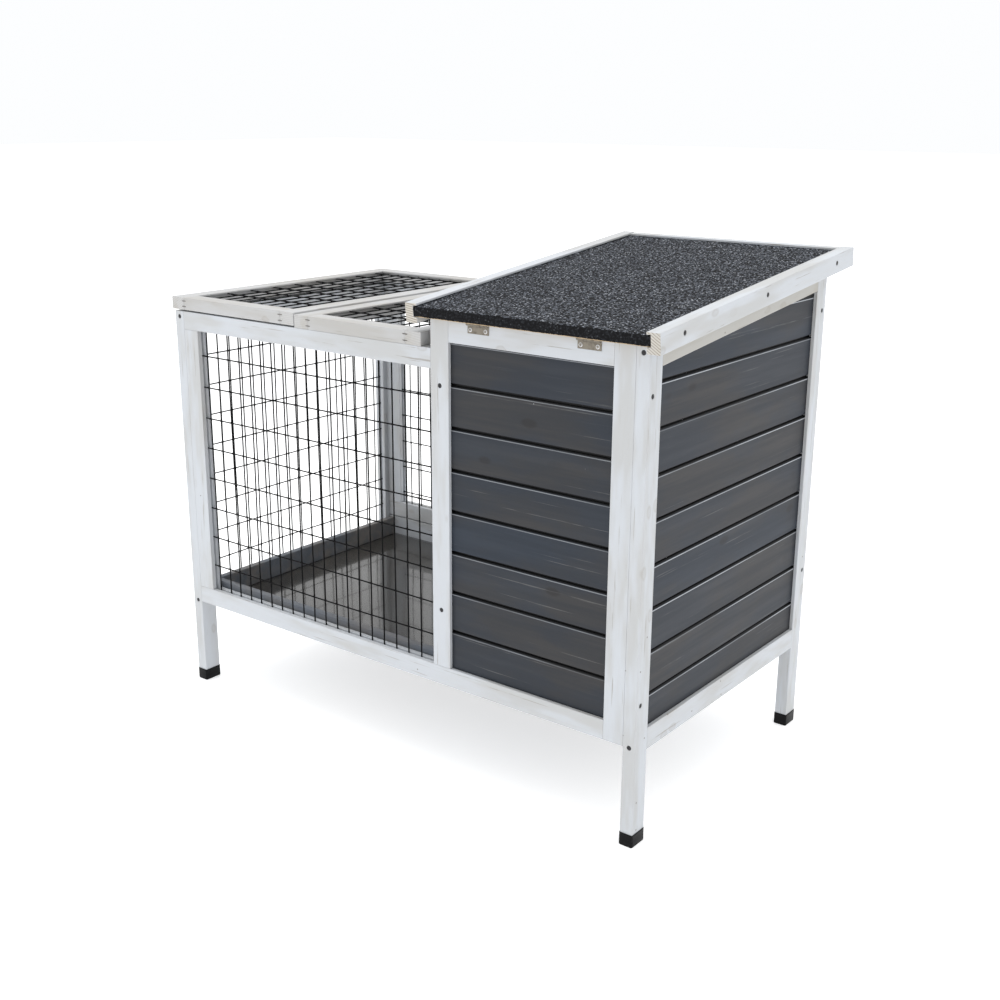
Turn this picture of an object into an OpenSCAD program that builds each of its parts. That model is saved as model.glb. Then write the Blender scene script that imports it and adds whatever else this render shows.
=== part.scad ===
// Rabbit hutch on four legs: an open wire run on the left and a weatherboarded
// house on the right, under a felted roof that is hinged along its low back edge.
// X runs along the hutch, Y from the back panel to the front (door) panel, Z up.

/* [Overall size] */
// Width over the outer faces of the legs
hutch_w = 900; // [750:5:1200]
// Depth over the outer faces of the legs
hutch_d = 500; // [400:5:700]
// Height of the run's frame above the ground
run_h = 650; // [560:1:800]
// Height of the roof's underside at the back face
eaves_h = 694; // [680:1:900]
// Fall of the roof towards the back, in degrees
roof_slope = 6.1; // [3:0.1:10]
// Width of the house, from the middle stile to the right legs' outer face
house_w = 353; // [250:1:450]

/* [Legs and rails] */
// Leg section along the hutch
leg_w = 20; // [16:1:30]
// Leg section across the hutch
leg_d = 30; // [24:1:40]
// Thickness of the back and front panels, the divider and the door
panel_t = 20; // [16:1:24]
// Face width of the upright stiles
stile_w = 32; // [26:1:40]
// Face width of the back panel's rails
rail_w = 29; // [24:1:36]
// Face width of the side panels' rails
side_rail_w = 32; // [26:1:40]
// Face width of the rails under the roof
house_rail_w = 31; // [26:1:36]
// Height of the back bottom rail's underside
back_rail_z = 148; // [120:1:200]
// Height of the side bottom rails' underside
side_rail_z = 138; // [110:1:190]
// Height of the front bottom rail's underside, over the tray
front_rail_z = 190; // [188:1:260]
// Clearance between the roof and what it closes on
roof_rest_gap = 2; // [1:0.5:4]
// Depth of the grooves that hold boards and wire
groove = 6; // [4:0.5:8]

/* [Foot caps] */
// Wall of the moulded foot caps
cap_wall = 1.2; // [1:0.1:2]
// Height of the foot caps
cap_h = 19.5; // [12:0.5:30]
// Thickness under the leg
cap_floor = 2; // [1.5:0.5:4]

/* [Weatherboards] */
// Thickness of a board
board_t = 10; // [8:0.5:12]
// Height that one board covers
board_cover = 61; // [45:1:80]
// Open joint between two boards
board_gap = 4; // [2:0.5:6]
// Chamfer along a board's upper outer edge
board_chamfer = 2.5; // [1:0.5:4]
// Height of the lap behind the joint
board_lap = 7; // [5:0.5:10]
// How far the boards lie behind the frame's face
board_recess = 6; // [3:0.5:8]
// Where the right side's first board starts below its rail's top
side_board_drop = 13; // [0:1:30]

/* [Wire] */
// Diameter of the coated wire
wire_d = 2.2; // [1.2:0.1:2.5]
// Spacing of the upright wires
mesh_pitch = 25.2; // [15:0.1:40]
// Spacing of the level wires
mesh_rise = 51.5; // [25:0.5:80]
// How far the left panel's level wires sit below centre
left_mesh_drop = 5; // [0:1:20]

/* [Run lids] */
// Thickness of the lid frames
lid_t = 20; // [14:1:24]
// Face width of the lid frames' members
lid_rail_w = 29; // [24:1:36]
// Width of the opening lid
lid_w = 282; // [200:1:320]
// How far the opening lid overhangs the left legs
lid_overhang = 6; // [0:1:12]
// Gap under the opening lid
lid_gap = 2.5; // [1:0.5:4]
// Gap between the two lids
lid_split = 1.5; // [1:0.5:4]
// Gap between the fixed lid and the middle stile
lid_end_gap = 18; // [16:1:40]
// Depth of the groove that holds the lids' wire
lid_groove = 6; // [4:0.5:8]
// How far the lids' wire lies under their top faces
lid_wire_drop = 3; // [2:0.5:8]

/* [Roof] */
// Thickness of the roof board
roof_t = 13; // [9:1:18]
// Thickness of the mineral felt
felt_t = 2.5; // [1.5:0.5:4]
// Overhang of the low edge behind the back face
roof_back_overhang = 14; // [10:1:20]
// Overhang of the high edge in front of the front face
roof_front_overhang = 40; // [20:1:80]
// Overhang of the left barge board past the middle stile
roof_left_overhang = 32; // [28:1:50]
// Width of a barge board over its lips
barge_w = 20; // [16:1:28]
// Reach of a barge board's lips over the felt
barge_lip = 6; // [4:1:8]
// Thickness of the lip on top of the felt
barge_top = 3.5; // [2:0.5:6]
// Depth of the lip under the roof board
barge_bottom = 8.5; // [5:0.5:10]
// Clearance between the right barge board and the legs
barge_clear = 2; // [1:0.5:5]
// Thickness of the strip along the high edge
ridge_strip_t = 12; // [8:1:20]

/* [Divider] */
// Width of the doorway between run and house
doorway_w = 150; // [100:5:200]
// Height of the doorway over its sill, in boards
doorway_rows = 3; // [2:1:4]
// Distance from the back face to the doorway
doorway_y = 200; // [60:5:240]
// Face width of the divider's posts and rails
divider_rail_w = 20; // [16:1:30]

/* [Tray] */
// Thickness of the tray's wooden walls and front board
tray_wall = 12; // [9:1:18]
// Height of the tray's walls over its underside
tray_h = 38; // [30:1:39]
// Thickness of the tray's floor board
tray_floor_t = 4; // [3:0.5:8]
// Thickness of the tray's sheet liner
liner_t = 0.8; // [0.5:0.1:2]
// Clearance round the tray
tray_clear = 2; // [1:0.5:4]
// Section of the runners under the tray
runner_w = 15; // [10:1:25]
// Width of the finger notch in the tray's front board
notch_w = 90; // [60:5:140]
// Depth of the finger notch
notch_h = 12; // [8:1:16]

/* [House door] */
// Gap round the door
door_gap = 2; // [1:0.5:4]
// Face width of the door's stiles and rails
door_rail_w = 30; // [24:1:40]
// Length of the turn button
button_l = 52; // [44:1:60]
// Width of the turn button
button_w = 14; // [10:1:18]
// Thickness of the turn button
button_t = 7; // [5:1:10]
// Gap between the turn button and the door's face
button_gap = 0.5; // [0.3:0.1:1]

/* [Hinges and screws] */
// Width of a hinge
hinge_w = 36; // [30:1:50]
// Height of a hinge leaf
leaf_h = 13; // [10:1:15]
// Thickness of a hinge leaf
leaf_t = 1.2; // [1:0.1:1.6]
// Radius of a hinge knuckle
knuckle_r = 2.5; // [2:0.1:3]
// Radius of a hinge pin
pin_r = 1; // [0.8:0.1:1.2]
// Radial clearance of a hinge pin
pin_fit = 0.05; // [0.02:0.01:0.1]
// Gap between a knuckle and the wood, and between knuckles
knuckle_gap = 0.4; // [0.3:0.1:0.8]
// Distance from the middle stile to the roof's first hinge
roof_hinge_inset_left = 53; // [30:1:80]
// Distance from the right stile to the roof's second hinge
roof_hinge_inset_right = 37; // [25:1:80]
// Radius of a frame screw's head
screw_head_r = 3.2; // [2.5:0.1:4]
// Depth of the recess that a screw head sits in
screw_sink = 2; // [1:0.5:4]
// Radius of a frame screw's shank
screw_r = 1.9; // [1.5:0.1:2.2]

/* [Hidden] */
$fn = 32;
E = 0.01;

// Lines of the frame
middle_x = hutch_w - house_w;
house_x0 = middle_x + stile_w;
house_x1 = hutch_w - leg_w - stile_w;
run_x0 = leg_w + stile_w;
inner_x0 = leg_w;
inner_x1 = hutch_w - leg_w;
inner_y0 = panel_t;
inner_y1 = hutch_d - panel_t;
side_y0 = leg_d;
side_y1 = hutch_d - leg_d;
back_sill_z = back_rail_z + rail_w;
side_sill_z = side_rail_z + side_rail_w;
front_sill_z = front_rail_z + rail_w;
run_head_z = run_h - rail_w;
back_top_z = eaves_h - roof_rest_gap;
back_head_z = back_top_z - house_rail_w;
function under_roof(y) = eaves_h + y * tan(roof_slope);
front_top_z = under_roof(inner_y1) - roof_rest_gap;
front_head_z = front_top_z - house_rail_w;
front_leg_top_z = under_roof(side_y1) - roof_rest_gap;
divider_x0 = middle_x + (stile_w - panel_t) / 2;
divider_x1 = divider_x0 + panel_t;
divider_sill_z = front_rail_z + divider_rail_w;

// Roof, in its own tilted frame: v runs up the slope from the back face, w is square to it
roof_v0 = -roof_back_overhang;
roof_v1 = (hutch_d + roof_front_overhang) / cos(roof_slope);
felt_top = roof_t + felt_t;
felt_fit = 0.5;
barge_high = felt_top + felt_fit + barge_top;
left_barge_x = middle_x - roof_left_overhang;
right_barge_x = hutch_w + barge_clear + barge_w;
roof_x0 = left_barge_x + barge_w - barge_lip;
roof_x1 = right_barge_x - barge_w + barge_lip;

// Reference point: under the middle of the whole hutch
y_low = roof_v0 * cos(roof_slope) - barge_high * sin(roof_slope);
y_high = roof_v1 * cos(roof_slope) + barge_bottom * sin(roof_slope);
x_low = -max(lid_overhang, cap_wall);
centre = [(x_low + right_barge_x) / 2, (y_low + y_high) / 2, 0];

// Lids
lid_x0 = -lid_overhang;
lid_x1 = lid_x0 + lid_w;
fixed_lid_x0 = lid_x1 + lid_split;
fixed_lid_x1 = middle_x - lid_end_gap;
lid_z = run_h + lid_gap;

// Tray
tray_x0 = inner_x0 + tray_clear;
tray_x1 = inner_x1 - tray_clear;
tray_y0 = inner_y0 + tray_clear;
tray_front_y = hutch_d - panel_t;
tray_z = back_rail_z;
tray_front_h = front_rail_z - tray_z - tray_clear;
tray_front_gap = 0.5;

// Door
door_x0 = house_x0 + door_gap;
door_x1 = house_x1 - door_gap;
door_z0 = front_sill_z + door_gap;
door_z1 = front_head_z - door_gap;

// Hinge axes
axis_off = knuckle_r + knuckle_gap;
roof_axis_y = -axis_off;
roof_axis_w = -axis_off;
roof_axis_z = under_roof(roof_axis_y) + roof_axis_w / cos(roof_slope);
lid_axis_z = run_h + lid_gap / 2;
door_axis_x = house_x1 - door_gap / 2;
front_axis_y = hutch_d + axis_off;
roof_hinge_xs = [house_x0 + roof_hinge_inset_left, house_x1 - roof_hinge_inset_right];
lid_hinge_inset = 60;
lid_hinge_xs = [lid_x0 + lid_hinge_inset, lid_x1 - lid_hinge_inset];
door_hinge_inset = 70;
door_hinge_zs = [door_z0 + door_hinge_inset, door_z1 - door_hinge_inset];

// Turn button
button_x = middle_x + stile_w / 2;
button_z = (door_z0 + door_z1) / 2;

// Clearances inside one frame
slot_fit = 0.2;
board_slot_t = board_t + 2 * slot_fit;
wire_slot_t = 2 * wire_d + 2 * slot_fit;

module place() {
    translate(-centre) children();
}

module on_roof() {
    translate([0, 0, eaves_h]) rotate([roof_slope, 0, 0]) children();
}

module box(low, high) {
    translate(low) cube(high - low);
}

// A prism along X whose outline is given in Y and Z
module along_x(x0, x1) {
    translate([x0, 0, 0]) rotate([90, 0, 90]) linear_extrude(x1 - x0) children();
}

// ---- Grooves: the space that a board or wire panel takes in its frame ----

module back_run_slot(fit = 0) {
    mid = panel_t / 2;
    box([run_x0 - groove + fit, mid - wire_slot_t / 2, back_sill_z - groove + fit],
        [middle_x + groove - fit, mid + wire_slot_t / 2, run_head_z + groove - fit]);
}

module back_house_slot(fit = 0) {
    box([house_x0 - groove + fit, board_recess - slot_fit + fit, back_sill_z - groove + fit],
        [house_x1 + groove - fit, board_recess - slot_fit + board_slot_t - fit, back_head_z + groove - fit]);
}

module front_run_slot(fit = 0) {
    mid = hutch_d - panel_t / 2;
    box([run_x0 - groove + fit, mid - wire_slot_t / 2, front_sill_z - groove + fit],
        [middle_x + groove - fit, mid + wire_slot_t / 2, run_head_z + groove - fit]);
}

module left_slot(fit = 0) {
    mid = leg_w / 2;
    box([mid - wire_slot_t / 2, side_y0 - groove + fit, side_sill_z - groove + fit],
        [mid + wire_slot_t / 2, side_y1 + groove - fit, run_head_z + groove - fit]);
}

module sloped_outline(y0, y1, z0, drop) {
    polygon([[y0, z0], [y1, z0], [y1, under_roof(y1) - drop], [y0, under_roof(y0) - drop]]);
}

right_head_drop = roof_rest_gap + side_rail_w / cos(roof_slope);

module right_slot(fit = 0) {
    x1 = hutch_w - board_recess + slot_fit - fit;
    along_x(x1 - board_slot_t + 2 * fit, x1)
        sloped_outline(side_y0 - groove + fit, side_y1 + groove - fit,
                       side_sill_z - groove + fit, right_head_drop - groove + fit);
}

divider_head_drop = roof_rest_gap + divider_rail_w / cos(roof_slope);

module divider_slot(fit = 0) {
    mid = (divider_x0 + divider_x1) / 2;
    along_x(mid - board_slot_t / 2 + fit, mid + board_slot_t / 2 - fit)
        sloped_outline(inner_y0 + divider_rail_w - groove + fit, inner_y1 - divider_rail_w + groove - fit,
                       divider_sill_z - groove + fit, divider_head_drop - groove + fit);
}

module door_slot(fit = 0) {
    y1 = hutch_d - board_recess + slot_fit - fit;
    inset = door_rail_w - groove + fit;
    box([door_x0 + inset, y1 - board_slot_t + 2 * fit, door_z0 + inset],
        [door_x1 - inset, y1, door_z1 - inset]);
}

// ---- Screws ----
// Each spot is a face, the distance along that face, the height and the shank's length.

leg_screw = 50;
side_screw = 36;
divider_screw = panel_t + divider_rail_w - groove - 2;
leg_screw_inset = 9;
side_screw_inset = 9.5;
back_screw_rise = 33;
front_screw_rise = 47;
run_screw_drop = 22;
house_screw_drop = 33;
low_screw_z = side_rail_z + side_rail_w / 3;
back_low_screw_z = back_sill_z + back_screw_rise;
front_low_screw_z = front_sill_z + front_screw_rise;
run_high_screw_z = run_head_z - run_screw_drop;
middle_screw_x = divider_x0 + panel_t / 2;
side_screw_back_y = side_screw_inset;
side_screw_front_y = hutch_d - side_screw_inset;
frame_spots = [
    ["back", leg_w / 2, low_screw_z, leg_screw],
    ["back", hutch_w - leg_w / 2, low_screw_z, leg_screw],
    ["back", leg_w / 2, run_h - leg_screw_inset, leg_screw],
    ["back", hutch_w - leg_w / 2, back_top_z - leg_screw_inset, leg_screw],
    ["front", leg_w / 2, low_screw_z, leg_screw],
    ["front", hutch_w - leg_w / 2, low_screw_z, leg_screw],
    ["front", leg_w / 2, run_h - leg_screw_inset, leg_screw],
    ["front", hutch_w - leg_w / 2, front_leg_top_z - leg_screw_inset, leg_screw],
    ["back", middle_screw_x, front_low_screw_z, divider_screw],
    ["back", middle_screw_x, run_high_screw_z, divider_screw],
    ["front", middle_screw_x, front_low_screw_z, divider_screw],
    ["front", middle_screw_x, run_high_screw_z, divider_screw],
    ["left", side_screw_back_y, back_low_screw_z, side_screw],
    ["left", side_screw_back_y, run_high_screw_z, side_screw],
    ["left", side_screw_front_y, front_low_screw_z, side_screw],
    ["left", side_screw_front_y, run_high_screw_z, side_screw],
    ["right", side_screw_back_y, back_low_screw_z, side_screw],
    ["right", side_screw_back_y, back_head_z - house_screw_drop, side_screw],
    ["right", side_screw_front_y, front_low_screw_z, side_screw],
    ["right", side_screw_front_y, front_head_z - house_screw_drop, side_screw]
];

module at_face(face, a, z) {
    if (face == "back") translate([a, 0, z]) rotate([-90, 0, 0]) children();
    if (face == "front") translate([a, hutch_d, z]) rotate([90, 0, 0]) children();
    if (face == "left") translate([0, a, z]) rotate([0, 90, 0]) children();
    if (face == "right") translate([hutch_w, a, z]) rotate([0, -90, 0]) children();
}

screw_head_t = 1.6;

// A screw points along +Z, and z = 0 is the wood's face
module screw(length) {
    translate([0, 0, screw_sink - screw_head_t]) cylinder(r = screw_head_r, h = screw_head_t);
    cylinder(r = screw_r, h = length);
}

module screw_hole(length) {
    translate([0, 0, -1]) cylinder(r = screw_head_r + slot_fit, h = screw_sink + 1);
    cylinder(r = screw_r, h = length);
}

module frame_holes() {
    for (s = frame_spots) at_face(s[0], s[1], s[2]) screw_hole(s[3]);
}

// ---- Legs and foot caps ----

module leg(x, y, top) {
    box([x, y, cap_floor], [x + leg_w, y + leg_d, top]);
}

module leg_back_left() {
    color("whitesmoke") place() difference() {
        leg(0, 0, run_h);
        left_slot();
        frame_holes();
    }
}

module leg_back_right() {
    color("whitesmoke") place() difference() {
        leg(hutch_w - leg_w, 0, back_top_z);
        right_slot();
        frame_holes();
    }
}

module leg_front_left() {
    color("whitesmoke") place() difference() {
        leg(0, side_y1, run_h);
        left_slot();
        frame_holes();
    }
}

module leg_front_right() {
    color("whitesmoke") place() difference() {
        leg(hutch_w - leg_w, side_y1, front_leg_top_z);
        right_slot();
        frame_holes();
    }
}

module foot_cap(x, y) {
    difference() {
        box([x - cap_wall, y - cap_wall, 0], [x + leg_w + cap_wall, y + leg_d + cap_wall, cap_h]);
        box([x, y, cap_floor], [x + leg_w, y + leg_d, cap_h + 1]);
    }
}

module foot_caps() {
    color("black") place()
        for (x = [0, hutch_w - leg_w])
            for (y = [0, side_y1]) foot_cap(x, y);
}

// ---- Back panel: flush with the legs' back faces ----

module back_member(low_x, low_z, high_x, high_z) {
    color("whitesmoke") place() difference() {
        box([low_x, 0, low_z], [high_x, panel_t, high_z]);
        back_run_slot();
        back_house_slot();
        frame_holes();
    }
}

module back_bottom_rail() {
    back_member(inner_x0, back_rail_z, house_x1, back_sill_z);
}

module back_left_stile() {
    back_member(inner_x0, back_sill_z, run_x0, run_head_z);
}

module back_middle_stile() {
    back_member(middle_x, back_sill_z, house_x0, back_top_z);
}

module back_right_stile() {
    back_member(house_x1, back_rail_z, inner_x1, back_top_z);
}

module back_run_top_rail() {
    back_member(inner_x0, run_head_z, middle_x, run_h);
}

module back_house_top_rail() {
    back_member(house_x0, back_head_z, house_x1, back_top_z);
}

// ---- Front panel: the tray slides out under its bottom rail ----

module front_member(low_x, low_z, high_x, high_z) {
    color("whitesmoke") place() difference() {
        box([low_x, inner_y1, low_z], [high_x, hutch_d, high_z]);
        front_run_slot();
        frame_holes();
    }
}

module front_bottom_rail() {
    front_member(inner_x0, front_rail_z, inner_x1, front_sill_z);
}

module front_left_stile() {
    front_member(inner_x0, front_sill_z, run_x0, run_head_z);
}

module front_middle_stile() {
    color("whitesmoke") place() difference() {
        box([middle_x, inner_y1, front_sill_z], [house_x0, hutch_d, front_top_z]);
        front_run_slot();
        frame_holes();
        button_pivot(screw_r);
    }
}

module front_right_stile() {
    front_member(house_x1, front_sill_z, inner_x1, front_top_z);
}

module front_run_top_rail() {
    front_member(inner_x0, run_head_z, middle_x, run_h);
}

module front_house_top_rail() {
    front_member(house_x0, front_head_z, house_x1, front_top_z);
}

// ---- Side panels: rails between the legs ----

module left_bottom_rail() {
    color("whitesmoke") place() difference() {
        box([0, side_y0, side_rail_z], [leg_w, side_y1, side_sill_z]);
        left_slot();
        frame_holes();
    }
}

module left_top_rail() {
    color("whitesmoke") place() difference() {
        box([0, side_y0, run_head_z], [leg_w, side_y1, run_h]);
        left_slot();
        frame_holes();
    }
}

module right_bottom_rail() {
    color("whitesmoke") place() difference() {
        box([inner_x1, side_y0, side_rail_z], [hutch_w, side_y1, side_sill_z]);
        right_slot();
        frame_holes();
    }
}

// Outline of a rail that follows the roof's underside
module sloped_rail_outline(y0, y1, head_drop) {
    polygon([
        [y0, under_roof(y0) - head_drop], [y1, under_roof(y1) - head_drop],
        [y1, under_roof(y1) - roof_rest_gap], [y0, under_roof(y0) - roof_rest_gap]
    ]);
}

module right_top_rail() {
    color("whitesmoke") place() difference() {
        along_x(inner_x1, hutch_w) sloped_rail_outline(side_y0, side_y1, right_head_drop);
        right_slot();
        frame_holes();
    }
}

// ---- Weatherboards ----
// Outline of one board: depth behind its outer face, and height over its lower edge.

lap_fit = 0.1;
lap_end_fit = 0.5;

module board_outline(cover) {
    half = board_t / 2;
    top = cover - board_gap;
    lap_top = top + board_lap;
    rebate = board_lap - board_gap + lap_end_fit;
    polygon([
        [0, 0], [0, top - board_chamfer], [board_chamfer, top], [half + lap_fit, top],
        [half + lap_fit, lap_top], [board_t, lap_top], [board_t, rebate],
        [half - lap_fit, rebate], [half - lap_fit, 0]
    ]);
}

// Boards laid one over the other. The topmost is wider, and its frame's groove cuts it
module board_stack(from_z, to_z) {
    last = round((to_z - from_z) / board_cover) - 1;
    for (k = [0 : last])
        translate([0, from_z + k * board_cover]) board_outline(k < last ? board_cover : 2 * board_cover);
}

// Boards along X whose outer faces look back, towards -Y
module boards_facing_back(x0, x1, y, from_z, to_z) {
    translate([x0, y, 0]) rotate([90, 0, 90]) linear_extrude(x1 - x0) board_stack(from_z, to_z);
}

// Boards along X whose outer faces look forward, towards +Y
module boards_facing_front(x0, x1, y, from_z, to_z) {
    translate([x1, y, 0]) rotate([90, 0, -90]) linear_extrude(x1 - x0) board_stack(from_z, to_z);
}

// Boards along Y whose outer faces look right, towards +X
module boards_facing_right(y0, y1, x, from_z, to_z) {
    translate([x, y0, 0]) rotate([90, 0, 180]) linear_extrude(y1 - y0) board_stack(from_z, to_z);
}

// Boards along Y whose outer faces look left, towards -X
module boards_facing_left(y0, y1, x, from_z, to_z) {
    translate([x, y1, 0]) rotate([90, 0, 0]) linear_extrude(y1 - y0) board_stack(from_z, to_z);
}

module back_siding() {
    color("dimgray") place() intersection() {
        boards_facing_back(house_x0 - groove, house_x1 + groove, board_recess,
                           back_sill_z, back_head_z);
        back_house_slot(slot_fit);
    }
}

module right_siding() {
    color("dimgray") place() intersection() {
        boards_facing_right(side_y0 - groove, side_y1 + groove, hutch_w - board_recess,
                            side_sill_z - side_board_drop, under_roof(hutch_d / 2) - right_head_drop);
        right_slot(slot_fit);
    }
}

// ---- Wire panels: level wires lie in front of the upright ones ----

// Evenly spaced places centred in a span, as many as fit or some fewer
function spaced(low, high, pitch, fewer = 0) =
    let (n = floor((high - low - pitch / 8) / pitch) - fewer, first = (low + high - n * pitch) / 2)
    [for (k = [0 : n]) first + k * pitch];

wire_fit = 0.05;
wire_layer = wire_d + wire_fit;
wire_sides = 8;

module wire_x(x0, x1, y, z) {
    translate([x0, y, z]) rotate([0, 90, 0]) cylinder(d = wire_d, h = x1 - x0, $fn = wire_sides);
}

module wire_y(y0, y1, x, z) {
    translate([x, y1, z]) rotate([90, 0, 0]) cylinder(d = wire_d, h = y1 - y0, $fn = wire_sides);
}

module wire_z(z0, z1, x, y) {
    translate([x, y, z0]) cylinder(d = wire_d, h = z1 - z0, $fn = wire_sides);
}

wire_reach = groove - 1;

module back_mesh() {
    mid = panel_t / 2;
    color("black") place() {
        for (x = spaced(run_x0, middle_x, mesh_pitch))
            wire_z(back_sill_z - wire_reach, run_head_z + wire_reach, x, mid + wire_layer / 2);
        for (z = spaced(back_sill_z, run_head_z, mesh_rise, 1))
            wire_x(run_x0 - wire_reach, middle_x + wire_reach, mid - wire_layer / 2, z);
    }
}

module front_mesh() {
    mid = hutch_d - panel_t / 2;
    color("black") place() {
        for (x = spaced(run_x0, middle_x, mesh_pitch, 1))
            wire_z(front_sill_z - wire_reach, run_head_z + wire_reach, x, mid - wire_layer / 2);
        for (z = spaced(front_sill_z, run_head_z, mesh_rise))
            wire_x(run_x0 - wire_reach, middle_x + wire_reach, mid + wire_layer / 2, z);
    }
}

module left_mesh() {
    mid = leg_w / 2;
    color("black") place() {
        for (y = spaced(side_y0, side_y1, mesh_pitch, 1))
            wire_z(side_sill_z - wire_reach, run_head_z + wire_reach, mid + wire_layer / 2, y);
        for (z = spaced(side_sill_z, run_head_z, mesh_rise, 1))
            wire_y(side_y0 - wire_reach, side_y1 + wire_reach, mid - wire_layer / 2, z - left_mesh_drop);
    }
}

// ---- Divider between run and house, with the doorway ----

post_back_y = inner_y0 + divider_rail_w;
post_front_y = inner_y1 - divider_rail_w;

module divider_posts() {
    color("whitesmoke") place() difference() {
        along_x(divider_x0, divider_x1) {
            sloped_outline(inner_y0, post_back_y, front_rail_z, roof_rest_gap);
            sloped_outline(post_front_y, inner_y1, front_rail_z, roof_rest_gap);
        }
        divider_slot();
        frame_holes();
    }
}

// The lower rail's groove stops at the doorway
module divider_rails() {
    color("whitesmoke") place() {
        difference() {
            union() {
                box([divider_x0, post_back_y, front_rail_z], [divider_x1, post_front_y, divider_sill_z]);
                along_x(divider_x0, divider_x1)
                    sloped_rail_outline(post_back_y, post_front_y, divider_head_drop);
            }
            divider_slot();
        }
        box([divider_x0, doorway_y + slot_fit, divider_sill_z - groove - 1],
            [divider_x1, doorway_y + doorway_w - slot_fit, divider_sill_z]);
    }
}

divider_board_x = (divider_x0 + divider_x1 - board_t) / 2;
doorway_head_z = divider_sill_z + doorway_rows * board_cover;

// Boards beside the doorway, from one place to another
module divider_low_boards(y0, y1) {
    color("dimgray") place() intersection() {
        translate([divider_board_x, y1, 0]) rotate([90, 0, 0]) linear_extrude(y1 - y0)
            for (k = [0 : doorway_rows - 1])
                translate([0, divider_sill_z + k * board_cover]) board_outline(board_cover);
        divider_slot(slot_fit);
    }
}

module divider_back_boards() {
    divider_low_boards(post_back_y - groove, doorway_y);
}

module divider_front_boards() {
    divider_low_boards(doorway_y + doorway_w, post_front_y + groove);
}

// Boards over the doorway
module divider_head_boards() {
    color("dimgray") place() intersection() {
        boards_facing_left(post_back_y - groove, post_front_y + groove, divider_board_x,
                           doorway_head_z, under_roof(hutch_d / 2) - divider_head_drop);
        divider_slot(slot_fit);
    }
}

// Runners on the side rails' inner faces, which carry the tray
module tray_runners() {
    top = tray_z - slot_fit;
    color("whitesmoke") place() {
        box([inner_x0, side_y0, side_rail_z], [inner_x0 + runner_w, side_y1, top]);
        box([inner_x1 - runner_w, side_y0, side_rail_z], [inner_x1, side_y1, top]);
    }
}

// ---- Lids over the run ----

module lid_wire_slot(x0, x1, z) {
    top = z + lid_t - lid_wire_drop;
    box([x0 + lid_rail_w - lid_groove, lid_rail_w - lid_groove, top - wire_slot_t],
        [x1 - lid_rail_w + lid_groove, hutch_d - lid_rail_w + lid_groove, top]);
}

module lid_uprights(x0, x1, z) {
    color("whitesmoke") place() difference() {
        for (x = [x0, x1 - lid_rail_w])
            box([x, 0, z], [x + lid_rail_w, hutch_d, z + lid_t]);
        lid_wire_slot(x0, x1, z);
    }
}

module lid_crosspieces(x0, x1, z) {
    color("whitesmoke") place() difference() {
        for (y = [0, hutch_d - lid_rail_w])
            box([x0 + lid_rail_w, y, z], [x1 - lid_rail_w, y + lid_rail_w, z + lid_t]);
        lid_wire_slot(x0, x1, z);
    }
}

module lid_wires(x0, x1, z) {
    reach = lid_groove - 1;
    top = z + lid_t - lid_wire_drop - slot_fit - wire_d / 2;
    color("black") place() {
        for (y = spaced(lid_rail_w, hutch_d - lid_rail_w, mesh_rise))
            wire_x(x0 + lid_rail_w - reach, x1 - lid_rail_w + reach, y, top);
        for (x = spaced(x0 + lid_rail_w, x1 - lid_rail_w, mesh_pitch))
            wire_y(lid_rail_w - reach, hutch_d - lid_rail_w + reach, x, top - wire_layer);
    }
}

module fixed_lid_stiles() {
    lid_uprights(fixed_lid_x0, fixed_lid_x1, run_h);
}

module fixed_lid_rails() {
    lid_crosspieces(fixed_lid_x0, fixed_lid_x1, run_h);
}

module fixed_lid_mesh() {
    lid_wires(fixed_lid_x0, fixed_lid_x1, run_h);
}

module lid_stiles() {
    lid_uprights(lid_x0, lid_x1, lid_z);
}

module lid_rails() {
    lid_crosspieces(lid_x0, lid_x1, lid_z);
}

module lid_mesh() {
    lid_wires(lid_x0, lid_x1, lid_z);
}

// ---- Hinges ----
// In a hinge's own frame the pin lies along X, the fixed leaf hangs down -Z against
// wood at y = -axis_off, and a leaf has the outer or the middle knuckles.

knuckle_l = hinge_w / 3;

leaf_screw_r = 1.7;
leaf_screw_inset = 5;
leaf_screw_x = hinge_w / 2 - leaf_screw_inset;
leaf_screw_z = leaf_h - leaf_screw_inset;
leaf_head_r = 2.7;
leaf_head_h = 0.9;

// The leaf with the middle knuckle, running up +Z from the pin
module middle_leaf() {
    half = hinge_w / 2;
    k = knuckle_l / 2 - knuckle_gap / 2;
    difference() {
        union() {
            box([-half, -axis_off, axis_off], [half, -axis_off + leaf_t, leaf_h]);
            box([-k, -axis_off, -knuckle_r / 3], [k, -axis_off + leaf_t, axis_off + E]);
            translate([-k, 0, 0]) rotate([0, 90, 0]) cylinder(r = knuckle_r, h = 2 * k);
        }
        leaf_holes();
        pin_hole();
    }
    leaf_screws();
}

// The leaf with the two outer knuckles, running up +Z from the pin
module outer_leaf() {
    half = hinge_w / 2;
    k = knuckle_l / 2 + knuckle_gap / 2;
    difference() {
        union() {
            box([-half, -axis_off, axis_off], [half, -axis_off + leaf_t, leaf_h]);
            for (x = [-half, k]) {
                box([x, -axis_off, -knuckle_r / 3], [x + half - k, -axis_off + leaf_t, axis_off + E]);
                translate([x, 0, 0]) rotate([0, 90, 0]) cylinder(r = knuckle_r, h = half - k);
            }
        }
        leaf_holes();
        pin_hole();
    }
    leaf_screws();
}

module pin_hole() {
    translate([-hinge_w, 0, 0]) rotate([0, 90, 0]) cylinder(r = pin_r + pin_fit, h = 2 * hinge_w);
}

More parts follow.
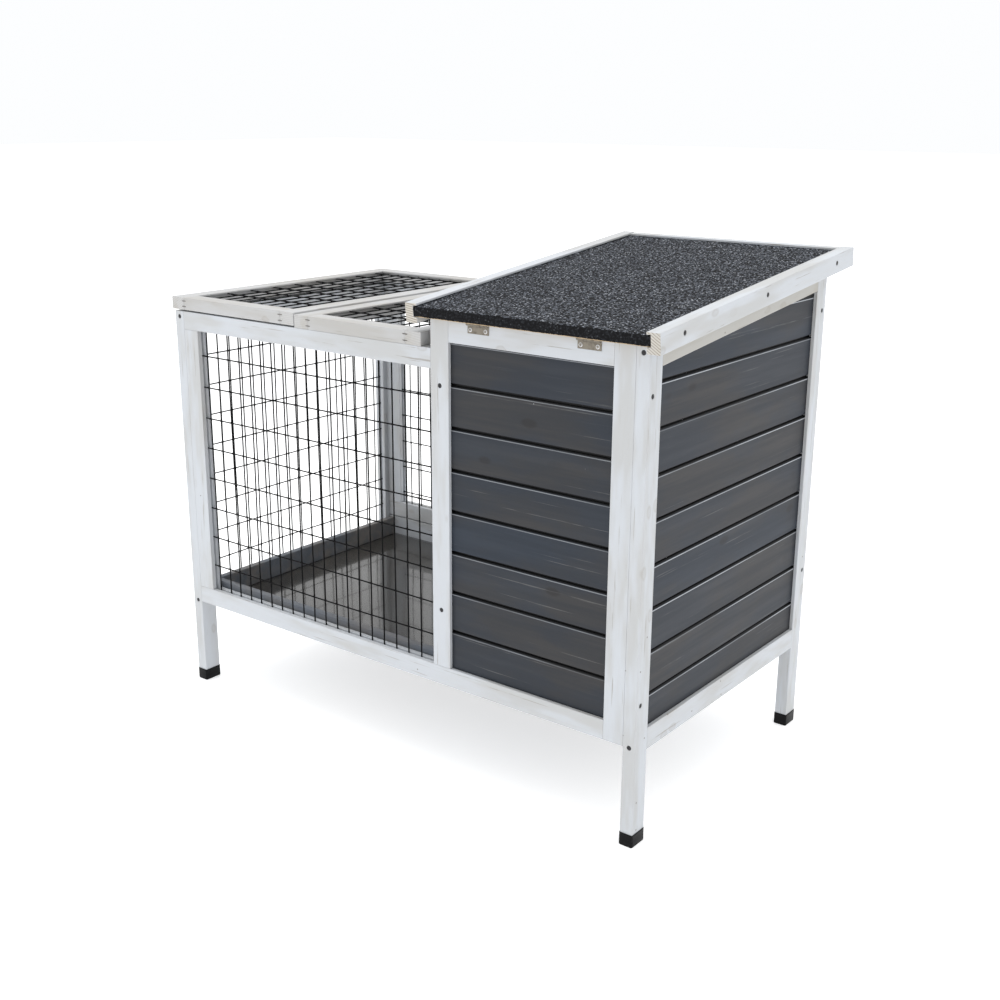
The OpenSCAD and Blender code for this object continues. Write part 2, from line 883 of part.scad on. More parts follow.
module leaf_holes() {
    for (x = [-leaf_screw_x, leaf_screw_x])
        translate([x, -axis_off - 1, leaf_screw_z]) rotate([-90, 0, 0])
            cylinder(r = leaf_screw_r, h = leaf_t + 2);
}

// Round-headed screws that fill the leaf's holes
module leaf_screws() {
    for (x = [-leaf_screw_x, leaf_screw_x])
        translate([x, -axis_off, leaf_screw_z]) rotate([-90, 0, 0]) {
            cylinder(r = leaf_screw_r, h = leaf_t);
            translate([0, 0, leaf_t]) cylinder(r1 = leaf_head_r, r2 = leaf_head_r * 2 / 3, h = leaf_head_h);
        }
}

module hinge_pin() {
    translate([-hinge_w / 2, 0, 0]) rotate([0, 90, 0]) cylinder(r = pin_r, h = hinge_w);
}

// Puts a hinge part at both hinges of the roof, lid or door
module at_roof_hinges() {
    for (x = roof_hinge_xs) translate([x, roof_axis_y, roof_axis_z]) children();
}

module at_lid_hinges() {
    for (x = lid_hinge_xs) translate([x, front_axis_y, lid_axis_z]) children();
}

module at_door_hinges() {
    for (z = door_hinge_zs) translate([door_axis_x, front_axis_y, z]) rotate([0, -90, 0]) children();
}

module roof_hinge_plates() {
    color("tan") place() at_roof_hinges() rotate([180, 0, 0]) outer_leaf();
}

module lid_hinge_plates() {
    color("tan") place() at_lid_hinges() mirror([0, 0, 1]) outer_leaf();
}

module door_hinge_plates() {
    color("tan") place() at_door_hinges() mirror([0, 0, 1]) outer_leaf();
}

module roof_hinge_leaves() {
    color("tan") place() at_roof_hinges() rotate([roof_slope - 90, 0, 0]) middle_leaf();
}

module lid_hinge_leaves() {
    color("tan") place() at_lid_hinges() middle_leaf();
}

module door_hinge_leaves() {
    color("tan") place() at_door_hinges() middle_leaf();
}

module hinge_pins() {
    color("silver") place() {
        at_roof_hinges() hinge_pin();
        at_lid_hinges() hinge_pin();
        at_door_hinges() hinge_pin();
    }
}

module frame_screws() {
    color("silver") place()
        for (s = frame_spots) at_face(s[0], s[1], s[2]) screw(s[3]);
}

// ---- Roof ----

roof_screw_inset = 58;
roof_screw_vs = [roof_v0 + roof_screw_inset, (roof_v0 + roof_v1) / 2, roof_v1 - roof_screw_inset];
roof_edge = 0.2;

module at_barge_screws() {
    for (v = roof_screw_vs) {
        translate([left_barge_x, v, roof_t / 2]) rotate([0, 90, 0]) children();
        translate([right_barge_x, v, roof_t / 2]) rotate([0, -90, 0]) children();
    }
}

barge_screw_l = 40;
ridge_drop = 1;

module roof_board() {
    color("burlywood") place() on_roof() difference() {
        box([roof_x0 + roof_edge, roof_v0 + felt_t, 0],
            [roof_x1 - roof_edge, roof_v1 - ridge_strip_t, roof_t]);
        at_barge_screws() screw_hole(barge_screw_l);
    }
}

// The felt lies on the board and is folded down over its low edge
module roof_felt() {
    color("black") place() on_roof() {
        box([roof_x0 + roof_edge, roof_v0, roof_t],
            [roof_x1 - roof_edge, roof_v1 - ridge_strip_t, felt_top]);
        box([roof_x0 + roof_edge, roof_v0, 0], [roof_x1 - roof_edge, roof_v0 + felt_t, roof_t + E]);
    }
}

// A barge board's section: a batten with a groove that grips the board and felt
module barge_outline() {
    polygon([
        [0, -barge_bottom], [barge_w, -barge_bottom], [barge_w, 0], [barge_w - barge_lip, 0],
        [barge_w - barge_lip, felt_top + felt_fit], [barge_w, felt_top + felt_fit], [barge_w, barge_high],
        [0, barge_high]
    ]);
}

module barge_board() {
    rotate([90, 0, 0]) translate([0, 0, -roof_v1]) linear_extrude(roof_v1 - roof_v0) barge_outline();
}

module left_barge_board() {
    color("white") place() on_roof() difference() {
        translate([left_barge_x, 0, 0]) barge_board();
        at_barge_screws() screw_hole(barge_screw_l);
    }
}

module right_barge_board() {
    color("white") place() on_roof() difference() {
        translate([right_barge_x, 0, 0]) mirror([1, 0, 0]) barge_board();
        at_barge_screws() screw_hole(barge_screw_l);
    }
}

module ridge_strip() {
    color("white") place() on_roof()
        box([roof_x0 + barge_lip, roof_v1 - ridge_strip_t, -barge_bottom],
            [roof_x1 - barge_lip, roof_v1, barge_high - ridge_drop]);
}

module roof_screws() {
    color("silver") place() on_roof() at_barge_screws() screw(barge_screw_l);
}

// ---- Tray ----

module tray_front() {
    top = tray_z + tray_front_h;
    mid_x = (inner_x0 + inner_x1) / 2;
    r = notch_h;
    color("whitesmoke") place() difference() {
        box([inner_x0 + tray_front_gap, tray_front_y, tray_z],
            [inner_x1 - tray_front_gap, hutch_d, top]);
        box([mid_x - notch_w / 2 + r, tray_front_y - 1, top - notch_h],
            [mid_x + notch_w / 2 - r, hutch_d + 1, top + 1]);
        for (side = [-1, 1])
            translate([mid_x + side * (notch_w / 2 - r), tray_front_y - 1, top]) rotate([-90, 0, 0])
                cylinder(r = r, h = panel_t + 2);
    }
}

module tray_walls() {
    z0 = tray_z + tray_floor_t;
    z1 = tray_z + tray_h;
    color("dimgray") place() {
        box([tray_x0, tray_y0, z0], [tray_x0 + tray_wall, tray_front_y, z1]);
        box([tray_x1 - tray_wall, tray_y0, z0], [tray_x1, tray_front_y, z1]);
        box([tray_x0 + tray_wall, tray_y0, z0], [tray_x1 - tray_wall, tray_y0 + tray_wall, z1]);
    }
}

module tray_floor() {
    color("dimgray") place()
        box([tray_x0, tray_y0, tray_z], [tray_x1, tray_front_y, tray_z + tray_floor_t]);
}

module tray_liner() {
    z0 = tray_z + tray_floor_t;
    color("gray") place()
        box([tray_x0 + tray_wall, tray_y0 + tray_wall, z0],
            [tray_x1 - tray_wall, tray_front_y, z0 + liner_t]);
}

// ---- House door and its turn button ----

module door_stiles() {
    color("whitesmoke") place() difference() {
        for (x = [door_x0, door_x1 - door_rail_w])
            box([x, inner_y1, door_z0], [x + door_rail_w, hutch_d, door_z1]);
        door_slot();
    }
}

module door_rails() {
    color("whitesmoke") place() difference() {
        for (z = [door_z0, door_z1 - door_rail_w])
            box([door_x0 + door_rail_w, inner_y1, z],
                [door_x1 - door_rail_w, hutch_d, z + door_rail_w]);
        door_slot();
    }
}

module door_boards() {
    color("dimgray") place() intersection() {
        boards_facing_front(door_x0, door_x1, hutch_d - board_recess,
                            door_z0 + door_rail_w, door_z1 - door_rail_w);
        door_slot(slot_fit);
    }
}

pivot_wall = 3;

// The hole for the turn button's screw, square to the front face
module button_pivot(r) {
    depth = panel_t - pivot_wall;
    translate([button_x, hutch_d - depth, button_z]) rotate([-90, 0, 0])
        cylinder(r = r, h = depth + button_gap + button_t + 1);
}

button_screw_r = screw_r;

module turn_button() {
    y0 = hutch_d + button_gap;
    r = button_w / 2;
    reach = button_l / 2 - r;
    color("whitesmoke") place() difference() {
        union() {
            box([button_x - r, y0, button_z - reach], [button_x + r, y0 + button_t, button_z + reach]);
            for (side = [-1, 1])
                translate([button_x, y0, button_z + side * reach]) rotate([-90, 0, 0])
                    cylinder(r = r, h = button_t);
        }
        button_pivot(button_screw_r + pin_fit);
    }
}

module button_screw() {
    head_t = 2;
    y1 = hutch_d + button_gap + button_t + knuckle_gap;
    color("silver") place() {
        translate([button_x, y1, button_z]) rotate([90, 0, 0])
            cylinder(r = button_screw_r, h = y1 - hutch_d + panel_t - pivot_wall);
        translate([button_x, y1 - E, button_z]) rotate([-90, 0, 0])
            cylinder(r1 = 2 * button_screw_r, r2 = 1.3 * button_screw_r, h = head_t);
    }
}

leg_back_left();
leg_back_right();
leg_front_left();
leg_front_right();
foot_caps();
back_bottom_rail();
back_left_stile();
back_middle_stile();
back_right_stile();
back_run_top_rail();
back_house_top_rail();
back_siding();
back_mesh();
front_bottom_rail();
front_left_stile();
front_middle_stile();
front_right_stile();
front_run_top_rail();
front_house_top_rail();
front_mesh();
left_bottom_rail();
left_top_rail();
left_mesh();
right_bottom_rail();
right_top_rail();
right_siding();
divider_posts();
divider_rails();
divider_back_boards();
divider_front_boards();
divider_head_boards();
tray_runners();
fixed_lid_stiles();
fixed_lid_rails();
fixed_lid_mesh();
roof_hinge_plates();
lid_hinge_plates();
door_hinge_plates();
hinge_pins();
frame_screws();
lid_stiles();
lid_rails();
lid_mesh();
lid_hinge_leaves();
roof_board();
roof_felt();
left_barge_board();
right_barge_board();
ridge_strip();
roof_hinge_leaves();
roof_screws();
tray_front();
tray_walls();
tray_floor();
tray_liner();
door_stiles();
door_rails();
door_boards();
door_hinge_leaves();
turn_button();
button_screw();
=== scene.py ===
import math

import bpy
import numpy as np
from mathutils import Matrix, Vector


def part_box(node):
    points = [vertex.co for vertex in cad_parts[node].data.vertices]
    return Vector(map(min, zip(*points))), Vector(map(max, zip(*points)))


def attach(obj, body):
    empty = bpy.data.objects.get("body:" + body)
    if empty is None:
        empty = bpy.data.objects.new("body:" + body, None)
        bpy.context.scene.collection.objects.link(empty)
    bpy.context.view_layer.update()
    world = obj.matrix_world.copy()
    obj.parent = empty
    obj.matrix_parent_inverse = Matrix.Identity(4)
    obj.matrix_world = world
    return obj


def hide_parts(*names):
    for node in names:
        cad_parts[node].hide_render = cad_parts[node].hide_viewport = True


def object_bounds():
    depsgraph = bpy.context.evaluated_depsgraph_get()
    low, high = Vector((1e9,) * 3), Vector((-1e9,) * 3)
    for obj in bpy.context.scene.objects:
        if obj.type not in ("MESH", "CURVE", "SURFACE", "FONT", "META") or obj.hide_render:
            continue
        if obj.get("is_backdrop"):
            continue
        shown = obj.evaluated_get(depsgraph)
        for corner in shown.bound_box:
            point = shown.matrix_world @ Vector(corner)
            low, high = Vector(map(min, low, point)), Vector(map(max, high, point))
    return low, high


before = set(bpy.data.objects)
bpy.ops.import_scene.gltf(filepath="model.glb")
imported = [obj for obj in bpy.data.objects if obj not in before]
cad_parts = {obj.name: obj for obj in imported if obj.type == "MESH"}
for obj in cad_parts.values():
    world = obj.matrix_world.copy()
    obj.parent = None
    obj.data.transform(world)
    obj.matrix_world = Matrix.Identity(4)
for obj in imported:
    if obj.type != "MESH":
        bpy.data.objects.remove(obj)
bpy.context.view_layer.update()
MM = 0.001

# ---- Camera, light and floor ----
# The hutch stands on a plain pale floor. The eye is behind its right-hand back corner,
# a little above the roof, and large soft lights hang over and beside it.
camera_data = bpy.data.cameras.new("camera")
camera_data.lens = 46.79
camera = bpy.data.objects.new("camera", camera_data)
bpy.context.scene.collection.objects.link(camera)
heading, dip, roll = (math.radians(a) for a in (37.69, 16.775, 0.32))
camera.matrix_world = (
    Matrix.Translation((1.2534, -1.6104, 0.9674))
    @ Matrix.Rotation(heading, 4, "Z")
    @ Matrix.Rotation(math.pi / 2 - dip, 4, "X")
    @ Matrix.Rotation(roll, 4, "Z")
)
bpy.context.scene.camera = camera
bpy.context.scene.view_settings.view_transform = "Standard"


def soft_light(name, place, aim, side, power, colour):
    """A square light of that side, turned from its place to face the aim."""
    data = bpy.data.lights.new(name, "AREA")
    data.size, data.energy, data.color = side, power, colour
    light = bpy.data.objects.new(name, data)
    bpy.context.scene.collection.objects.link(light)
    light.location = place
    light.rotation_euler = (Vector(aim) - Vector(place)).to_track_quat("-Z", "Y").to_euler()


soft_light("overhead", (-0.2, 0.1, 3.2), (0, 0, 0.4), 3.0, 48, (1.0, 0.99, 0.97))
soft_light("window", (-1.6, -3.2, 1.7), (0, -0.2, 0.4), 2.6, 8, (0.95, 0.98, 1.0))
soft_light("side", (3.4, 0.2, 1.6), (0.4, 0, 0.4), 1.8, 3, (1.0, 0.99, 0.96))

room = bpy.data.worlds.new("room")
bpy.context.scene.world = room
room.use_nodes = True
sky = room.node_tree.nodes["Background"]
sky.inputs["Color"].default_value = (0.98, 0.99, 1.0, 1)
sky.inputs["Strength"].default_value = 1.0

floor_mesh = bpy.data.meshes.new("floor")
reach = 30.0
floor_mesh.from_pydata(
    [(-reach, -reach, 0), (reach, -reach, 0), (reach, reach, 0), (-reach, reach, 0)],
    [], [(0, 1, 2, 3)],
)
floor = bpy.data.objects.new("floor", floor_mesh)
bpy.context.scene.collection.objects.link(floor)
floor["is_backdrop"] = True


# ---- Frame timber: legs, stiles, rails and posts ----
# Sawn fir under one thin coat of white paint: the grain and knots show faintly through it,
# the arrises are eased, and the sawn ends take the paint unevenly.
class Coat:
    """One output in a finish's nodes; arithmetic on it adds Math nodes."""

    def __init__(self, tree, socket):
        self.tree, self.socket = tree, socket

    def node(self, kind, settings=None, sockets=None, out=0):
        """Adds any other node: its settings first, then its sockets' values or links."""
        made = self.tree.nodes.new("ShaderNode" + kind)
        for key, value in (settings or {}).items():
            setattr(made, key, value)
        for key, value in (sockets or {}).items():
            if isinstance(value, Coat):
                self.tree.links.new(value.socket, made.inputs[key])
            else:
                made.inputs[key].default_value = value
        return Coat(self.tree, made.outputs[out])

    def maths(self, operation, a, b):
        return self.node("Math", {"operation": operation}, {0: a, 1: b})

    def __add__(self, other):
        return self.maths("ADD", self, other)

    def __sub__(self, other):
        return self.maths("SUBTRACT", self, other)

    def __rsub__(self, other):
        return self.maths("SUBTRACT", other, self)

    def __mul__(self, other):
        return self.maths("MULTIPLY", self, other)

    def __truediv__(self, other):
        return self.maths("DIVIDE", self, other)

    def __abs__(self):
        return self.maths("ABSOLUTE", self, 0.0)

    __radd__, __rmul__ = __add__, __mul__

    def step(self, low, high):
        """0 at low, 1 at high, and smooth between; low may be the larger."""
        return self.node("MapRange", {"interpolation_type": "SMOOTHSTEP"},
                         {"Value": self, "From Min": low, "From Max": high})

    def tint(self, here, there):
        """One colour where this is 0, and another where it is 1."""
        a, b = (c if isinstance(c, Coat) else (*c, 1) for c in (here, there))
        return self.node("Mix", {"data_type": "RGBA"}, {0: self, 6: a, 7: b}, out=2)

    def spread(self, scale, shift=(0, 0, 0)):
        """A place times a scale in each direction, plus a shift."""
        return self.node("VectorMath", {"operation": "MULTIPLY_ADD"},
                         {0: self, 1: scale, 2: shift})

    def axis(self, k):
        return self.node("SeparateXYZ", None, {0: self}, out=k)

    def noise(self, detail=4.0, rough=0.55):
        return self.node("TexNoise", None,
                         {"Vector": self, "Scale": 1.0, "Detail": detail, "Roughness": rough})

    def cells(self):
        """Distance to the nearest of scattered points, and that point's own random number."""
        far = self.node("TexVoronoi", None, {"Vector": self, "Scale": 1.0})
        own = Coat(self.tree, far.socket.node.outputs["Color"]).axis(0)
        return far, own


def new_finish(name):
    """An empty material, with its place and normal in the piece's own frame."""
    made = bpy.data.materials.new(name)
    made.use_nodes = True
    made.node_tree.nodes.clear()
    own = made.node_tree.nodes.new("ShaderNodeTexCoord")
    return made, *(Coat(made.node_tree, own.outputs[k]) for k in ("Object", "Normal"))


def close_finish(place, sockets, height=None, depth=0.0, strength=1.0):
    """The finish's shader, with a bump of that depth in metres where a height is given."""
    if height is not None:
        sockets["Normal"] = place.node(
            "Bump", None, {"Height": height, "Distance": depth, "Strength": strength})
    shader = place.node("BsdfPrincipled", None, sockets)
    end = place.tree.nodes.new("ShaderNodeOutputMaterial")
    place.tree.links.new(shader.socket, end.inputs["Surface"])


def fir(name, along, white=(0.525, 0.548, 0.58), wood=(0.42, 0.385, 0.33), thin=0.3,
        tilt=0.0, ends=0.16):
    """Painted fir with its grain along one axis: noise drawn out along it makes the grain,
    scattered cells with a random number over a limit make knots and nail marks."""
    made, place, normal = new_finish(name)
    if tilt:
        place, normal = (
            p.node("VectorRotate", {"rotation_type": "X_AXIS"}, {"Vector": p, "Angle": -tilt})
            for p in (place, normal))
    long = np.array([k == along for k in range(3)], float)
    grain = place.spread(tuple(38 - 35 * long)).noise(5, 0.6)
    fibre = place.spread(tuple(420 - 395 * long)).noise(3, 0.6)
    wash = place.spread(tuple(14 - 8 * long), (3, 1, 2)).noise(4, 0.6)
    far, own = place.spread(tuple(40 - 18 * long), (0.3, 0.7, 0.1)).cells()
    knot = far.step(0.27, 0.15) * own.step(0.86, 0.88)
    ring = knot * far.step(0.10, 0.19)
    dot, nail = place.spread((52, 52, 52)).cells()
    mark = dot.step(0.085, 0.05) * nail.step(0.955, 0.96)
    coat = (
        place.spread(tuple(26 - 21 * long), (5, 2, 7)).noise(3, 0.6).step(0.42, 0.62) * 0.8
    ).tint(white, tuple(w * k for w, k in zip(white, (0.87, 0.84, 0.79))))
    hair = place.spread(tuple(340 - 332 * long), (4, 8, 1)).noise(1, 0.4).step(0.685, 0.72)
    bare = (grain.step(0.50, 0.72) * 0.5 + fibre.step(0.50, 0.72) * 0.3
            + wash.step(0.5, 0.8) * 0.4) * thin
    painted = (hair * fibre.step(0.42, 0.6) * 0.6).tint(
        bare.tint(coat, wood), (0.23, 0.20, 0.165))
    knotted = (ring * 0.12 + knot * 0.16).tint(painted, (0.26, 0.22, 0.17))
    end = abs(normal.axis(along)).step(0.75, 0.9)
    bow = place.spread(tuple((1 - long) * (1.0, 1.0, 1.0)), (0.031, 0.047, 0.039))
    radius = bow.node("VectorMath", {"operation": "LENGTH"}, {0: bow}, out="Value")
    rings = radius + wash * 0.004
    lines = rings.maths("SINE", rings * 1900, 0.0).step(0.2, 0.9)
    sawn = (lines * 0.7 + fibre * 0.25).tint((0.56, 0.53, 0.47), (0.17, 0.13, 0.09))
    colour = (end * ends * (0.6 + wash * 0.8)).tint(knotted, sawn)
    colour = (mark * 0.8).tint(colour, (0.16, 0.14, 0.12))
    height = grain * 0.5 + fibre * 0.35 - ring * 0.5 - mark
    close_finish(place, {"Base Color": colour, "Roughness": 0.50 + grain * 0.16,
                         "Specular IOR Level": 0.35}, height, 0.5 * MM, 0.35)
    return made


def cover(finish, names):
    """Gives CAD pieces their finish."""
    for name in names.split():
        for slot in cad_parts[name].material_slots:
            slot.material = finish


def ease(names, width=0.7 * MM, steps=2):
    """Rounds the sharp arrises of CAD pieces: their loose triangles are welded, then bevelled."""
    for name in names.split():
        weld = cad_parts[name].modifiers.new("weld", "WELD")
        weld.merge_threshold = 0.01 * MM
        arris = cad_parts[name].modifiers.new("arris", "BEVEL")
        arris.width, arris.segments = width, steps
        arris.angle_limit = math.radians(50)
        arris.loop_slide, arris.use_clamp_overlap = False, False


fir_upright = fir("white fir, grain upright", 2)
fir_lengthwise = fir("white fir, grain lengthwise", 0)
fir_crosswise = fir("white fir, grain crosswise", 1)

uprights = """leg_back_left leg_back_right leg_front_left leg_front_right back_left_stile
    back_middle_stile back_right_stile front_left_stile front_middle_stile front_right_stile
    divider_posts door_stiles turn_button"""
lengths = """back_bottom_rail back_run_top_rail back_house_top_rail front_bottom_rail
    front_run_top_rail front_house_top_rail door_rails tray_front"""
crossings = "left_bottom_rail left_top_rail right_bottom_rail divider_rails tray_runners"
cover(fir_upright, uprights)
cover(fir_lengthwise, lengths)
cover(fir_crosswise, crossings)
ease(uprights)
ease(lengths)
ease(crossings)

# ---- Foot caps ----
# Black moulded plastic, pushed over each leg: rounded corners, a softened foot and a thin
# rolled lip. Each is one wall's outline carried up the outside and down the inside.
def skins(name, rings, finish, body, stands_for=(), smooth=True):
    """A mesh of closed tubes. rings[t, i, j] is point j round ring i of tube t; quads join
    neighbouring rings and a face closes each end ring, all facing outwards."""
    tubes, count, round_ = rings.shape[:3]
    index = np.arange(tubes * count * round_).reshape(tubes, count, round_)
    near, far = index[:, :-1], index[:, 1:]
    quads = np.stack([near, np.roll(near, -1, 2), np.roll(far, -1, 2), far], -1).reshape(-1, 4)
    ends = np.concatenate([index[:, 0, ::-1], index[:, -1]])
    mesh = bpy.data.meshes.new(name)
    mesh.from_pydata(rings.reshape(-1, 3).tolist(), [], quads.tolist() + ends.tolist())
    mesh.polygons.foreach_set("use_smooth", [smooth] * len(quads) + [False] * len(ends))
    mesh.materials.append(finish)
    piece = bpy.data.objects.new(name, mesh)
    bpy.context.scene.collection.objects.link(piece)
    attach(piece, body)
    if stands_for:
        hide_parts(*stands_for)
    return piece


moulded, place, normal = new_finish("moulded black foot cap")
grit = place.spread((900, 900, 900)).noise(2, 0.5)
scuff = place.spread((90, 90, 420)).noise(4, 0.6).step(0.58, 0.72)
close_finish(place, {
    "Base Color": (scuff * 0.4).tint((0.0035, 0.0035, 0.004), (0.03, 0.03, 0.032)),
    "Roughness": 0.38 + scuff * 0.25, "Specular IOR Level": 0.1}, grit + scuff, 0.12 * MM, 0.5)

cap_low, cap_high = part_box("foot_caps")
cap_size = np.array([22.4, 32.4]) * MM
corner = 3.2 * MM
# Each row: height, and inset from the cap's outline
up_and_over = np.array([
    (0.0, 1.5), (0.35, 0.6), (1.0, 0.2), (2.2, 0.0), (9.0, 0.1), (17.8, 0.15), (18.7, 0.0),
    (19.2, 0.1), (19.5, 0.45), (19.45, 0.95), (19.1, 1.2), (12.0, 1.2), (2.0, 1.2),
]) * MM
outline_points = 40
round_angle = (np.arange(outline_points) + 0.5) / outline_points * 2 * np.pi
out = np.stack([np.cos(round_angle), np.sin(round_angle)], -1)
radius = np.maximum(corner - up_and_over[:, 1], 0.3 * MM)[:, None, None]
half = cap_size / 2 - up_and_over[:, 1, None]
outline = np.sign(out) * (half[:, None] - radius) + radius * out
cap_ring = np.concatenate(
    [outline, np.broadcast_to(up_and_over[:, :1, None], (*outline.shape[:2], 1))], -1)
centres = np.array([
    (x, y, 0) for x in (cap_low.x + cap_size[0] / 2, cap_high.x - cap_size[0] / 2)
    for y in (cap_low.y + cap_size[1] / 2, cap_high.y - cap_size[1] / 2)])
skins("moulded_foot_caps", cap_ring + centres[:, None, None], moulded, "hutch",
      ("foot_caps",))

# ---- Weatherboards ----
# Fir boards with a lapped edge and a chamfer, brushed with slate grey stain. Each board took
# the stain a little differently. Along the chamfers the colour is lighter: partly stain worn
# through, partly a painted highlight on the upturned chamfer. Above each chamfer line the lap
# between boards is painted near black as painted shade.
def stain(name, along, first, cover_mm=61.0, wear_and_highlight=0.5, grey=(0.025, 0.033, 0.047),
          ends=0.6, joint=1.0):
    """Grey stain on boards: the height over the first board's foot gives each its own tone."""
    made, place, normal = new_finish(name)
    long = np.array([k == along for k in range(3)], float)
    rise = (place.axis(2) - first) / (cover_mm * MM)
    row = rise.maths("FLOOR", rise, 0.0)
    own = place.node("TexWhiteNoise", {"noise_dimensions": "1D"}, {"W": row + 0.5}, out="Value")
    jump = place.node("CombineXYZ", None, {0: own, 1: own, 2: own * 0.3})
    shifted = place.node("VectorMath", {"operation": "ADD"}, {0: place, 1: jump})
    grain = shifted.spread(tuple(60 - 57 * long)).noise(6, 0.62)
    fibre = shifted.spread(tuple(520 - 500 * long)).noise(3, 0.6)
    cloud = shifted.spread(tuple(11 - 7 * long), (1, 2, 3)).noise(4, 0.6)
    far, pick = shifted.spread(tuple(32 - 16 * long), (0.2, 0.9, 0.4)).cells()
    knot = far.step(0.26, 0.14) * pick.step(0.84, 0.86)
    dot, speck = place.spread((95, 95, 95)).cells()
    pale = dot.step(0.075, 0.035) * speck.step(0.93, 0.94)
    streak = grain.step(0.60, 0.78) * fibre.step(0.42, 0.62)
    brown = own * 0.45 + cloud.step(0.40, 0.62) * 0.75
    colour = brown.tint(grey, (grey[0] * 1.5, grey[1] * 1.12, grey[2] * 0.82))
    colour = (grain.step(0.35, 0.6) * 0.4).tint(colour, tuple(g * 0.62 for g in grey))
    colour = (streak * 0.15).tint(colour, (0.17, 0.175, 0.185))
    scratch = shifted.spread(tuple(330 - 327 * long), (9, 4, 6)).noise(2, 0.4).step(0.685, 0.72)
    colour = (scratch * fibre.step(0.40, 0.60) * 0.32).tint(colour, (0.20, 0.20, 0.195))
    colour = (knot * 0.5).tint(colour, (0.018, 0.016, 0.016))
    up = (rise - row) * cover_mm
    # The chamfer line is painted lighter: partly stain worn through, partly a painted highlight on
    # the upturned chamfer.
    line = up.step(53.5, 54.0) * up.step(55.1, 54.7)
    arris = line * (0.25 + grain.step(0.35, 0.6) * 0.75) * joint
    rubbed_and_highlit = arris * wear_and_highlight
    colour = rubbed_and_highlit.tint(colour, (0.42, 0.44, 0.47))
    # Above the chamfer line the lap between boards is painted near black: painted shade in the
    # joint.
    colour = (up.step(55.0, 56.2) * joint * 0.93).tint(colour, (0.003, 0.003, 0.003))
    colour = pale.tint(colour, (0.42, 0.43, 0.44))
    end = abs(normal.axis(along)).step(0.75, 0.9)
    colour = (end * ends).tint(colour, (0.03, 0.028, 0.027))
    close_finish(place, {"Base Color": colour, "Roughness": 0.42 + grain * 0.2 + rubbed_and_highlit * 0.15,
                         "Specular IOR Level": 0.22},
                 grain * 0.6 + fibre * 0.3 - knot * 0.4, 0.5 * MM, 0.30)
    return made


board_groove, side_drop = 6 * MM, 13 * MM
back_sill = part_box("back_bottom_rail")[1].z
side_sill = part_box("right_bottom_rail")[1].z
divider_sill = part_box("divider_back_boards")[0].z + board_groove
door_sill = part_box("door_boards")[0].z + board_groove
for names, axis, first, wear_and_highlight in (
    ("back_siding", 0, back_sill, 0.5), ("right_siding", 1, side_sill - side_drop, 1.0),
    ("divider_back_boards divider_front_boards divider_head_boards", 1, divider_sill, 0.3),
    ("door_boards", 0, door_sill, 0.4),
):
    title = "slate stain, " + names.split()[0].replace("_", " ")
    cover(stain(title, axis, first, wear_and_highlight=wear_and_highlight), names)
    ease(names, 0.35 * MM, 1)


# ---- Welded wire panels ----
# Black coated 2.2 mm wire, close-spaced wires welded behind others at twice their spacing.
# The coating thickens where two wires cross, and no wire is quite straight.
WIRE, LAYER = 1.1 * MM, 2.25 * MM
PITCHES = 25.2 * MM, 51.5 * MM
WIRE_SIDES = 8


def spaced(low, high, pitch, fewer):
    """Evenly spaced places, centred between low and high: as many as fit, or fewer."""
    count = math.floor((high - low - pitch / 8) / pitch) - fewer
    return (low + high - count * pitch) / 2 + pitch * np.arange(count + 1)


def wires(along, across, depth, level, start, end, places, crossings, seed):
    """Wires that run along one axis from start to end, at those places across it. A wire's
    radius swells at each crossing, and a slow sine bends it within half its thickness."""
    near = np.array([-2.6, -1.2, 0.0, 1.2, 2.6]) * MM
    t = np.sort(np.concatenate([[start, end], (crossings[:, None] + near).ravel(),
                                (crossings[1:] + crossings[:-1]) / 2]))
    t = t[(t >= start) & (t <= end)]
    swell = np.exp(-((t[:, None] - crossings) / (1.7 * MM)) ** 2).sum(1)
    size = WIRE * (1 + 0.24 * swell)
    rng = np.random.default_rng(seed)
    phase = rng.uniform(0, 6.28, (len(places), 1))
    bow = rng.uniform(0.2, 0.7, (len(places), 1)) * MM
    bend = bow * np.sin((t - start) / (end - start) * 7.0 + phase)
    angle = np.arange(WIRE_SIDES) / WIRE_SIDES * 2 * np.pi
    flip = 1 if (across - along) % 3 == 1 else -1
    ring = np.zeros((len(places), len(t), WIRE_SIDES, 3))
    ring[..., along] = t[None, :, None]
    ring[..., across] = (places[:, None] + bend)[..., None] + size[:, None] * np.cos(angle)
    ring[..., depth] = level + flip * size[:, None] * np.sin(angle)
    return ring


coated, place, normal = new_finish("black coated wire")
drips = place.spread((260, 260, 260)).noise(3, 0.5)
close_finish(place, {
    "Base Color": drips.step(0.5, 0.8).tint((0.003, 0.003, 0.0035), (0.010, 0.010, 0.011)),
    "Roughness": 0.34 + drips * 0.2, "Specular IOR Level": 0.06}, drips, 0.25 * MM, 0.5)


def wire_panel(name, body, node, open_a, open_b, a, b, depth, side, fewer, drop=0.0, seed=1):
    """One panel between the sides of its opening. Axis a is the close-spaced wires' axis of
    spacing, and b that of the wide-spaced ones, which lie on the given side of the others."""
    low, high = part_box(node)
    middle = (low[depth] + high[depth]) / 2
    tight = spaced(*open_a, PITCHES[0], fewer[0])
    wide = spaced(*open_b, PITCHES[1], fewer[1]) - drop
    upright = wires(b, a, depth, middle - side * LAYER / 2, low[b], high[b], tight, wide, seed)
    level = wires(a, b, depth, middle + side * LAYER / 2, low[a], high[a], wide, tight, seed + 1)
    for number, part in enumerate((upright, level)):
        skins(f"{name}_{('close', 'wide')[number]}_wires", part, coated, body,
              (node,) if number == 0 else ())


def gap(low_node, high_node, axis):
    """The open span between two CAD pieces along an axis."""
    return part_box(low_node)[1][axis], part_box(high_node)[0][axis]


